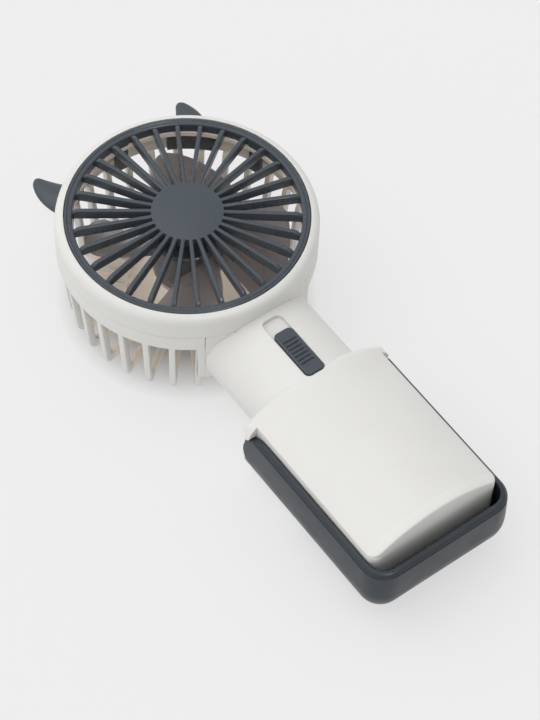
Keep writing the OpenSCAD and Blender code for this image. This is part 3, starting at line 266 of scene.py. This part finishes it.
def piece(name, soup, body, mat, stands_for, sharp=38):
    """Closed shells become an object in its place, with smooth faces up to an angle."""
    weld = 1e-7
    mesh = bpy.data.meshes.new(name)
    mesh.from_pydata([(x * MM, y * MM + HEAD_Y, z * MM) for x, y, z in soup.verts], [], soup.faces)
    mesh.validate()
    work = bmesh.new()
    work.from_mesh(mesh)
    bmesh.ops.remove_doubles(work, verts=work.verts, dist=weld)
    bmesh.ops.recalc_face_normals(work, faces=work.faces)
    work.to_mesh(mesh)
    work.free()
    mesh.shade_smooth()
    mesh.set_sharp_from_angle(angle=math.radians(sharp))
    ob = bpy.data.objects.new(name, mesh)
    scene.collection.objects.link(ob)
    mesh.materials.append(mat)
    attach(ob, body)
    if stands_for:
        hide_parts(*stands_for)


class Soup:
    """Collects several closed shells into one mesh."""

    def __init__(self):
        self.verts, self.faces = [], []

    def put(self, verts, faces):
        base = len(self.verts)
        self.verts += [tuple(v) for v in verts]
        self.faces += [tuple(base + i for i in f) for f in faces]

    def revolve(self, profile, steps, closed=True):
        """profile: points (r, z); a closed outline away from the axis, or an open one from axis to axis."""
        n = len(profile)
        verts, faces = [], []
        for k in range(steps):
            a = 2 * math.pi * k / steps
            verts += [(r * math.cos(a), r * math.sin(a), z) for r, z in profile]
        for k in range(steps):
            m = (k + 1) % steps
            for i in range(n if closed else n - 1):
                j = (i + 1) % n
                faces.append((k * n + i, m * n + i, m * n + j, k * n + j))
        self.put(verts, faces)

    def loft(self, rings):
        """rings: lists of points of equal length, joined one to the next and closed at both ends."""
        n, last = len(rings[0]), len(rings) - 1
        verts = [p for ring in rings for p in ring]
        faces = []
        for k in range(last):
            for i in range(n):
                j = (i + 1) % n
                faces.append((k * n + i, k * n + j, (k + 1) * n + j, (k + 1) * n + i))
        faces.append(tuple(range(n))[::-1])
        faces.append(tuple(last * n + i for i in range(n)))
        self.put(verts, faces)


def rounded(points, radii, steps):
    """An outline with each corner rounded by its radius."""
    most = 0.49
    out = []
    n = len(points)
    for i in range(n):
        p, r = Vector(points[i]), radii[i]
        if r <= 0:
            out.append(tuple(p))
            continue
        a, b = Vector(points[i - 1]) - p, Vector(points[(i + 1) % n]) - p
        half = a.angle(b) / 2
        cut = min(r / math.tan(half), most * a.length, most * b.length)
        r = cut * math.tan(half)
        mid = p + (a.normalized() + b.normalized()).normalized() * (r / math.sin(half))
        s, e = p + a.normalized() * cut - mid, p + b.normalized() * cut - mid
        turn = s.angle_signed(e)
        for k in range(steps + 1):
            t = -turn * k / steps
            c, d = math.cos(t), math.sin(t)
            out.append((mid.x + s.x * c - s.y * d, mid.y + s.x * d + s.y * c))
    return out


def oblong(a, b, c, d):
    """The corners of a rectangle from a to b and from c to d."""
    return [(a, c), (b, c), (b, d), (a, d)]


def grid(m, n):
    """The faces of a grid of m rows of n points."""
    corners = [i * n + j for i in range(m - 1) for j in range(n - 1)]
    return [(c, c + 1, c + n + 1, c + n) for c in corners]


def shrunk(outline, d):
    """The outline moved inwards by d, each corner along its own bisector."""
    sharpest = 0.5
    area = sum(a[0] * b[1] - b[0] * a[1] for a, b in zip(outline, outline[1:] + outline[:1]))
    turn = 1 if area > 0 else -1
    out = []
    for i, here in enumerate(outline):
        p = Vector(here)
        a = (p - Vector(outline[i - 1])).normalized()
        b = (Vector(outline[(i + 1) % len(outline)]) - p).normalized()
        n = Vector((-a.y - b.y, a.x + b.x)) * turn
        n.normalize()
        lean = max(sharpest, abs(n.x * a.y - n.y * a.x))
        out.append(tuple(p + n * (d / lean)))
    return out


def slab(soup, outline, half, soft, to_world):
    """An outline given a thickness to both sides, with its long edges rounded."""
    steps = 4
    turns = [math.pi / 2 * k / steps for k in range(steps + 1)]
    rings = [(-half + soft * (1 - math.cos(q)), soft * (1 - math.sin(q))) for q in turns]
    rings += [(-h, d) for h, d in reversed(rings)]
    soup.loft([[to_world(a, b, h) for a, b in shrunk(outline, d)] for h, d in rings])


def arc(soup, profile, start, stop, steps):
    """A profile of points (r, z) swept about the head's axis from one angle to another."""
    soup.loft([[(*polar(r, start + (stop - start) * k / steps), z) for r, z in profile] for k in range(steps + 1)])


def front_grille():
    """A grooved ring, a centre disc, spokes that bend down into the ring, and snap legs."""
    soup = Soup()
    ring_in, ring_out, ring_low, ring_top = 35.5, 38.0, 37.6, 41.1
    groove_r, groove_half, groove_z = 37.05, 0.27, 40.84
    soup.revolve(rounded(
        [(ring_in, ring_low), (ring_out, ring_low), (ring_out, ring_top), (groove_r + groove_half, ring_top),
         (groove_r, groove_z), (groove_r - groove_half, ring_top), (ring_in, ring_top)],
        [0.2, 0.2, 0.5, 0.1, 0.05, 0.1, 0.5], 4), 240)
    disc_r, disc_low, disc_top = 11.3, 39.0, 42.4
    soup.revolve(rounded(oblong(0, disc_r, disc_low, disc_top), [0, 0.25, 0.35, 0], 4), 180, closed=False)

    root_r, bend_r, end_r = 10.3, 33.4, 35.8
    root_top, fall, bend_fall, bend_curve, rise = 42.39, 0.5, 0.15, 1.35, 0.8
    slim, flare, flare_from, flare_over = 0.62, 0.10, 11, 24
    reach = [10.4, 12, 14, 17, 20, 23, 26, 29, 31, 32.6, bend_r, 33.8, 34.1, 34.4, 34.7, 35.0, 35.25, 35.5, end_r]

    def top(r):
        if r < bend_r:
            return root_top - fall * (r - root_r) / (bend_r - root_r)
        t = (r - bend_r) / (end_r - bend_r)
        return root_top - fall - bend_fall * t - bend_curve * t * t

    for k in range(SPOKES):
        to = facing(360 / SPOKES * k)
        rings = []
        for r in reach:
            w = slim + flare * (r - flare_from) / flare_over
            low, high = disc_low - rise * (r - root_r) / (end_r - root_r), top(r)
            section = rounded(oblong(-w, w, low, high), [0.2, 0.2, 0.34, 0.34], 4)
            rings.append([to(r, s, z) for s, z in section])
        soup.loft(rings)

    leg = rounded([(35.6, 38.1), (37.0, 38.1), (37.0, 27.4), (38.3, 27.4), (38.3, 26.7), (37.0, 26.0), (35.6, 26.0)],
                  [0, 0, 0.2, 0.15, 0.15, 0.2, 0.3], 3)
    leg_r, leg_z, leg_half, bevel, pull_r, pull_z = 36.6, 32.0, 2.3, 0.12, 0.1, 0.015
    flat = leg_half - bevel
    for k in range(SNAPS):
        to = facing(90 + 360 / SNAPS * k)
        soup.loft([[to(r + (leg_r - r) * pull_r * ends, s, z + (leg_z - z) * pull_z * ends) for r, z in leg]
                   for s, ends in ((-leg_half, 1), (-flat, 0), (flat, 0), (leg_half, 1))])
    piece("front_grille_fine", soup, "handle", slate, ["front_grille"])


def impeller():
    """A cup-shaped hub and four pitched blades with thin rounded edges."""
    soup = Soup()
    soup.revolve(rounded(
        [(0, 30.2), (1, 30.2), (1, 23.2), (3, 23.2), (3, 29), (9.75, 29), (9.75, 15), (11, 15), (11, 31), (0, 31)],
        [0, 0, 0.1, 0.2, 0.4, 0.6, 0.15, 0.25, 1.5, 0], 6), 160, closed=False)
    blades, rows, cols = 4, 30, 44
    root, tip, half_thick, edge, corner = 10.3, 32.1, 0.6, 0.9, 4
    start, sweep, span, narrowing = 96, 23, 62, 5
    corner_s, corner_t = 1 - corner / (tip - root), corner / math.radians(tip * (span - narrowing))

    def point(s, t, side):
        """s runs from root to tip, t from the leading edge to the trailing one."""
        past = (s - corner_s) / (1 - corner_s)
        trim = 0 if past <= 0 else corner_t * (1 - math.sqrt(max(0, 1 - past ** 2)))
        u = trim + t * (1 - 2 * trim)
        r = root + (tip - root) * s
        a = math.radians(start - sweep * s - u * (span - narrowing * s))
        z = 30.1 + 7.9 * s - 4.6 * s * s - (10.5 + 10.5 * s) * (0.33 * u + 0.67 * u * u)
        width = math.radians(span - narrowing * s) * r
        d = min(t * width, (1 - t) * width, (1 - s) * (tip - root)) / edge
        f = 1 if d >= 1 else math.sqrt(max(0, 1 - (1 - d) ** 2))
        return (r * math.cos(a), r * math.sin(a), z - half_thick + side * half_thick * f)

    ss = [math.sin(math.pi / 2 * i / rows) for i in range(rows + 1)]
    tt = [(1 - math.cos(math.pi * j / cols)) / 2 for j in range(cols + 1)]
    n, half = cols + 1, (cols + 1) * (rows + 1)
    faces = []
    for q in grid(rows + 1, n):
        faces.append(q)
        faces.append(tuple(half + m for m in q[::-1]))
    for j in range(cols):
        faces.append((j, half + j, half + j + 1, j + 1))
    blade = [point(s, t, side) for side in (1, -1) for s in ss for t in tt]
    for k in range(blades):
        turn = 2 * math.pi * k / blades
        c, d = math.cos(turn), math.sin(turn)
        soup.put([(x * c - y * d, x * d + y * c, z) for x, y, z in blade], faces)
    piece("impeller_fine", soup, "rotor", smoke, ["impeller"], 50)


def horn(name, node, flip):
    """A curved horn with a stem through the head's wall and a plate behind it."""
    soup = Soup()
    base_a, tip_a, out, wide, thick, tip_r = 52.5, 57.9, 11.0, 11.9, 5.0, 1.1
    sunk, round_from, crowd, seat = 0.5, 0.9, 1.6, 0.995
    half_a = math.degrees(math.asin(wide / 2 / HEAD_R))
    tip = polar(HEAD_R + out, tip_a)
    lean = tip - polar(HEAD_R, base_a)
    side = Vector((lean.y, -lean.x)).normalized()
    outer = (polar(HEAD_R - sunk, base_a - half_a), polar(HEAD_R + out * 0.75, base_a - 4.1), tip + side * tip_r)
    inner = (polar(HEAD_R - sunk, base_a + half_a), polar(HEAD_R + out * 0.34, base_a + 6.6), tip - side * tip_r)

    def bezier(p, u):
        return (1 - u) ** 2 * p[0] + 2 * u * (1 - u) * p[1] + u * u * p[2]

    rings = []
    count, sides = 40, 48
    for i in range(count):
        u = 1 - (1 - i / count) ** crowd
        o, p = bezier(outer, u), bezier(inner, u)
        m, w = (o + p) / 2, (o - p) / 2
        k = 1 if u < round_from else math.sqrt(max(0, 1 - ((u - round_from) / (1 - round_from)) ** 2))
        h = thick / 2 * (1 - u) + tip_r * u
        ring = []
        for j in range(sides):
            a = 2 * math.pi * j / sides
            q = m + w * k * math.cos(a)
            ring.append((q.x, q.y, PARTING_Z + h * k * math.sin(a)))
        if i == 0:
            ring = [(x * seat, y * seat, z) for x, y, z in ring]
        rings.append(ring)
    soup.loft(rings)

    stem_half, stem_low, stem_top = 4.046, 30.25, 33.75
    to = facing(base_a)
    stem = rounded(oblong(-stem_half, stem_half, stem_low, stem_top), [0.3] * 4, 3)
    soup.loft([[to(r, s, z) for s, z in stem] for r in (38.1, 41.6)])
    plate_in, plate_out, plate_low, plate_top, plate_half = 37.3, 38.9, 26.6, 35.3, 8
    plate = rounded(oblong(plate_in, plate_out, plate_low, plate_top), [0.3] * 4, 3)
    span = math.degrees(math.asin(plate_half / ((plate_in + plate_out) / 2)))
    arc(soup, plate, base_a - span, base_a + span, 16)
    if flip:
        soup.verts = [(-x, y, z) for x, y, z in soup.verts]
    piece(name, soup, "handle", slate, [node])


def slider():
    """A button with round corners, cross grooves and a stem that reaches the switch."""
    low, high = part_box("slider_button")
    mid = (low + high) / 2
    half_w, half_l, corner, edge = 3.3, 9.0, 1.6, 0.45
    floor_z, top_z = 33.3, 35.1
    grooves, pitch, groove_half, groove_deep, groove_reach, groove_fade = 7, 1.5, 0.42, 0.5, 2.6, 0.3
    rows = sorted({round(half_l * math.sin(math.pi / 2 * i / 40), 4) for i in range(-40, 41)}
                  | {round(-6 + 0.1 * i, 4) for i in range(121)})
    cols = [math.sin(math.pi / 2 * j / 22) for j in range(-22, 23)]

    def reach(y):
        over = abs(y) - (half_l - corner)
        return half_w if over <= 0 else half_w - corner + math.sqrt(max(0, corner ** 2 - over ** 2))

    def height(x, y):
        qx, qy = abs(x) - (half_w - corner), abs(y) - (half_l - corner)
        d = corner - (math.hypot(max(qx, 0), max(qy, 0)) + min(max(qx, qy), 0))
        z = top_z if d >= edge else top_z - edge + math.sqrt(max(0, edge ** 2 - (edge - d) ** 2))
        if abs(x) < groove_reach:
            fade = min(1.0, (groove_reach - abs(x)) / groove_fade)
            for k in range(grooves):
                g = abs(y - (k - grooves // 2) * pitch)
                if g < groove_half:
                    z -= groove_deep * fade * (0.5 + 0.5 * math.cos(math.pi * g / groove_half)) ** 0.6
        return z

    n, m = len(cols), len(rows)
    verts = [(reach(y) * c, y, height(reach(y) * c, y)) for y in rows for c in cols]
    faces = grid(m, n)
    rim = list(range(n)) + [i * n + n - 1 for i in range(1, m)]
    rim += [(m - 1) * n + j for j in range(n - 2, -1, -1)] + [i * n for i in range(m - 2, 0, -1)]
    base, count = len(verts), len(rim)
    verts += [(verts[i][0], verts[i][1], floor_z) for i in rim]
    for k in range(count):
        faces.append((rim[k], base + k, base + (k + 1) % count, rim[(k + 1) % count]))
    faces.append(tuple(base + k for k in range(count)))
    soup = Soup()
    soup.put(verts, faces)
    stem = rounded(oblong(-1.2, 1.2, -1.5, 1.5), [0.25] * 4, 3)
    soup.loft([[(x, y, z) for x, y in stem] for z in (29.3, 33.6)])
    shift = mid.y / MM - HEAD_Y / MM
    soup.verts = [(x, y + shift, z) for x, y, z in soup.verts]
    piece("slider_button_fine", soup, "slider", slate, ["slider_button"], 30)


def rear_grille():
    """A band, a skirt with two posts, angled ribs, a plate with the motor's pedestal, a trough and catches."""
    soup = Soup()
    wall_in, wall_out = 39, 41
    band_gap, skirt_half, post_half = 27.7, 30.8, 27.54

    def wall(low, top, top_edge):
        return rounded(oblong(wall_in, wall_out, low, top), [0.2, 0.5, top_edge, 0.1], 4)

    arc(soup, wall(25.8, 31.98, 0.22), NECK_A + band_gap, NECK_A + 360 - band_gap, 260)
    arc(soup, wall(10.8, 18.93, 0.1), NECK_A - skirt_half, NECK_A + skirt_half, 60)
    post = wall(10.8, 26.4, 0.1)
    arc(soup, post, NECK_A - skirt_half, NECK_A - post_half, 4)
    arc(soup, post, NECK_A + post_half, NECK_A + skirt_half, 4)

    rib_half, rib_edge = 1.0, 0.4
    rib = rounded([(19, 0), (37.7, 0), (40.3, 26.3), (38.5, 26.3), (37.7, 24.8), (35.5, 3.4), (19, 3.4)],
                  [0, 3, 0, 0, 0.4, 1.5, 0], 6)
    for k in range(RIBS):
        to = facing(360 / RIBS * k)
        slab(soup, rib, rib_half, rib_edge, lambda r, z, s: to(r, s, z))

    soup.revolve(rounded(
        [(0, 0), (20, 0), (20, 2.6), (10.5, 2.6), (10.5, 12.4),
         (3.3, 12.4), (3.3, 22.6), (2.5, 22.6), (2.5, 8.8), (0, 8.8)],
        [0, 0.4, 0.4, 0.8, 0.4, 0.2, 0.15, 0.15, 0, 0], 4), 160, closed=False)
    trough = rounded(
        [(-3.5, 0), (3.5, 0), (3.5, 4.4), (1.75, 4.4), (1.75, 2.6), (-1.75, 2.6), (-1.75, 4.4), (-3.5, 4.4)],
        [0.2, 0.2, 0.3, 0.3, 0.3, 0.3, 0.3, 0.3], 3)
    soup.loft([[(x, y, z) for x, z in trough] for y in (-36.2, -10.4)])
    catch_half = 3.3
    catch = rounded(oblong(37.35, 39.6, 27.7, 28.9), [0.2, 0, 0, 0.2], 3)
    for k in range(SNAPS):
        to = facing(90 + 360 / SNAPS * k)
        soup.loft([[to(r, s, z) for r, z in catch] for s in (-catch_half, catch_half)])
    piece("rear_grille_fine", soup, "handle", white_with_painted_bounce, ["rear_grille"])


def handle_edge():
    """The crisp front edge of the handle's end, a thin skin over the softer edge of the solid."""
    crown, crown_z, end, half_w, corner, edge, skin = 42.0, -7.2, -125.2, 23.5, 3.0, 0.5, 0.006
    steps, edge_steps, inset, deep = 120, 8, 0.12, 3.6
    limit = math.asin((half_w - inset) / crown)
    rings = []
    for k in range(steps + 1):
        a = limit * (2 * k / steps - 1)
        over = max(0, crown * abs(math.sin(a)) - (half_w - corner))
        t = corner - math.sqrt(corner * corner - over * over)
        e = min(edge, 0.6 * (deep - t))
        profile = [(5.0, 41.4), (3.5, crown + skin)]
        for j in range(edge_steps + 1):
            q = math.pi / 2 * j / edge_steps
            profile.append((t + e - (e + skin) * math.sin(q), crown - e + (e + skin) * math.cos(q)))
        profile += [(t - skin, crown - deep), (t + 1.0, 38.1), (4.2, 38.6)]
        rings.append([(r * math.sin(a), end + y, crown_z + r * math.cos(a)) for y, r in profile])
    soup = Soup()
    soup.loft(rings)
    piece("handle_edge_fine", soup, "handle", crisp, [])


front_grille()
rear_grille()
handle_edge()
impeller()
horn("horn_left_fine", "horn_left", True)
horn("horn_right_fine", "horn_right", False)
slider()


# Stage: a pale floor, a soft dome of light and three lamps

def floor():
    """A pale sheet that shines faintly, least under the head."""
    half, z, shade_r, shade_glow = 3.0, -0.0002, (0.024, 0.042), (0.15, 0.58)
    mesh = bpy.data.meshes.new("floor")
    mesh.from_pydata([(-half, -half, z), (half, -half, z), (half, half, z), (-half, half, z)], [], [(0, 1, 2, 3)])
    ob = bpy.data.objects.new("floor", mesh)
    scene.collection.objects.link(ob)
    mat, tree, bsdf = tree_of("floor_paper")
    where = place(tree)
    colour = blend_colour(tree, noise(tree, where, 4), (0.265, 0.265, 0.265), (0.275, 0.275, 0.275))
    tree.links.new(colour, bsdf.inputs["Base Color"])
    bsdf.inputs["Roughness"].default_value = 0.9
    bsdf.inputs["Emission Color"].default_value = (1.0, 1.0, 1.0, 1)
    r, _ = from_axis(tree, where)
    tree.links.new(ramp(tree, r, *shade_r, *shade_glow), bsdf.inputs["Emission Strength"])
    bsdf.inputs["Specular IOR Level"].default_value = 0.1
    mesh.materials.append(mat)


def dome(lean, dark, bright):
    """A white sky that is brighter towards one side, as in a light tent that is open towards the photographer."""
    world = bpy.data.worlds.new("dome")
    scene.world = world
    world.use_nodes = True
    tree = world.node_tree
    toward = add(tree, "ShaderNodeVectorMath", operation="DOT_PRODUCT")
    tree.links.new(add(tree, "ShaderNodeTexCoord").outputs["Generated"], toward.inputs[0])
    toward.inputs[1].default_value = lean
    sky = tree.nodes["Background"]
    sky.inputs["Color"].default_value = (1.0, 1.0, 1.0, 1)
    tree.links.new(ramp(tree, toward.outputs["Value"], -1.0, 1.0, dark, bright), sky.inputs["Strength"])


def sun_from(name, direction, strength, spread, diffuse=True):
    """A far lamp. Without diffuse it shows only in gloss."""
    data = bpy.data.lights.new(name, "SUN")
    data.energy = strength
    data.angle = math.radians(spread)
    ob = bpy.data.objects.new(name, data)
    scene.collection.objects.link(ob)
    ob.rotation_euler = Vector(direction).to_track_quat("Z", "Y").to_euler()
    ob.visible_diffuse = diffuse


floor()
dome((-0.3, 0.6, 0.6), 0.12, 1.05)
sun_from("soft_sun", (-0.35, 0.45, 1.3), 0.68, 60)
sun_from("front_lamp", (-0.25, -0.42, 0.88), 0.2, 9)
sun_from("glint_lamp", (0.0, -0.52, 0.85), 1.3, 10, diffuse=False)
scene.view_settings.view_transform = "Standard"
scene.view_settings.look = "None"


# Camera, solved from the photograph's round edges

camera = bpy.data.cameras.new("camera")
camera.sensor_fit = "VERTICAL"
camera.sensor_height = 36
camera.lens = 123.45
camera.clip_end = 20
eye = bpy.data.objects.new("camera", camera)
scene.collection.objects.link(eye)
right = Vector((0.80510, -0.59231, 0.03127))
up = Vector((0.47331, 0.67333, 0.56799))
back = Vector((-0.35749, -0.44249, 0.82244))
spot = Vector((-0.27265, HEAD_Y - 0.38182, 0.64128))
eye.matrix_world = Matrix((
    (right.x, up.x, back.x, spot.x),
    (right.y, up.y, back.y, spot.y),
    (right.z, up.z, back.z, spot.z),
    (0, 0, 0, 1)))
scene.camera = eye
